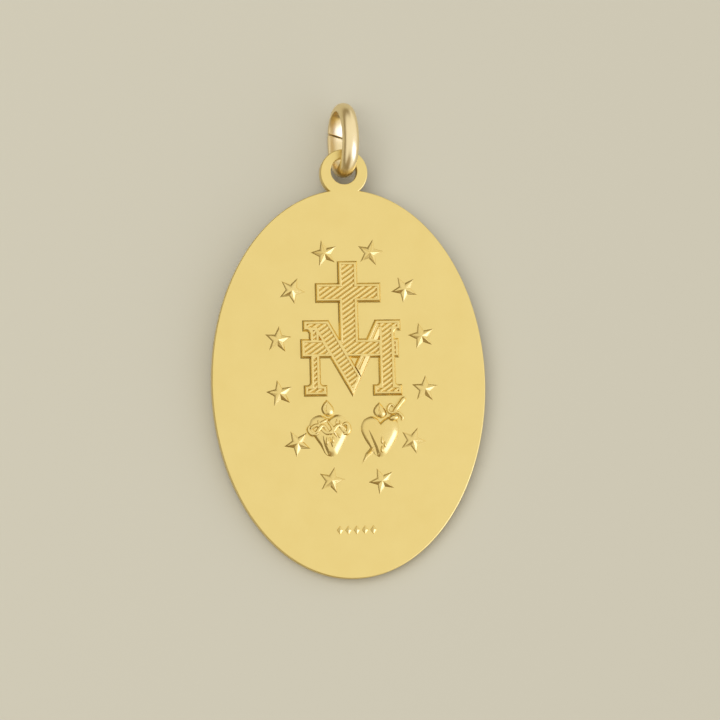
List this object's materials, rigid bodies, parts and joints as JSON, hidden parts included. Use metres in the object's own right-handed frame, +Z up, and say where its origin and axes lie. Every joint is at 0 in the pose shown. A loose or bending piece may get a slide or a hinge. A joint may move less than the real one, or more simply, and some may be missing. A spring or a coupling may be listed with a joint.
{
  "type": "religious medal pendant",
  "caption": "Oval struck medal with a pierced ear, a raised monogram with a cross, hearts and faceted stars, lying face up with its oval bail ring standing through the ear.",
  "frame": {"origin": "under the middle of the whole, on the surface that the pendant lies on", "axes": "+Y along the medal's long axis towards its ear and ring, +Z up out of the struck face, +X to the right of the upright emblem"},
  "size_m": [0.025, 0.0434, 0.005],
  "materials": {
    "medal_metal": "satin gilt field with polished raised relief",
    "ring_metal": "polished gilt"
  },
  "bodies": {
    "root": {"medal": "medal_metal", "bail_ring": "ring_metal"}
  },
  "joints": []
}
